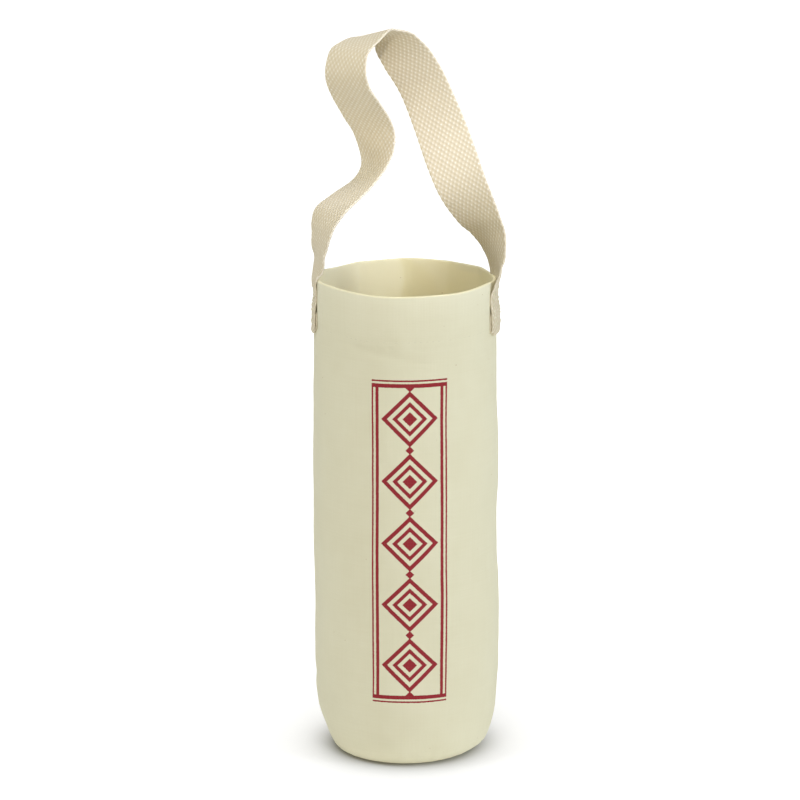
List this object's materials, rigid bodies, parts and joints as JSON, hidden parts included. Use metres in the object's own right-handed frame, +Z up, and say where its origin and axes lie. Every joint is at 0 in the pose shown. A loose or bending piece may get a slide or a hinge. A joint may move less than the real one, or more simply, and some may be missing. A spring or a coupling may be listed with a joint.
{
  "type": "bottle carrier",
  "caption": "Round cotton-canvas bag that carries one upright bottle, with a flat base, a turned hem and a webbing handle sewn to both sides.",
  "frame": {"origin": "centre of the flat round base, on its underside", "axes": "+Z up through the mouth, -Y to the printed front, +X to the right as seen from the front"},
  "size_m": [0.1207, 0.1112, 0.4447],
  "materials": {
    "canvas": "undyed cotton canvas, plain weave, matt",
    "webbing": "undyed cotton webbing, basket weave, matt",
    "thread": "spun cotton sewing thread, matt"
  },
  "bodies": {
    "bag": {"body_panel": "canvas", "base_disc": "canvas", "back_seam": "canvas", "back_seam_stitching": "thread", "base_seam_stitching": "thread", "hem_stitching": "thread", "strap_end_left": "webbing", "strap_end_right": "webbing", "strap_stitching_left": "thread", "strap_stitching_right": "thread"},
    "handle": {"handle_strap": "webbing"}
  },
  "joints": [
    {"name": "handle_fold", "type": "hinge", "parent": "bag", "child": "handle", "pos_m": [0, 0, 0.31], "axis": [1, 0, 0], "range_deg": [-65, 105]}
  ]
}
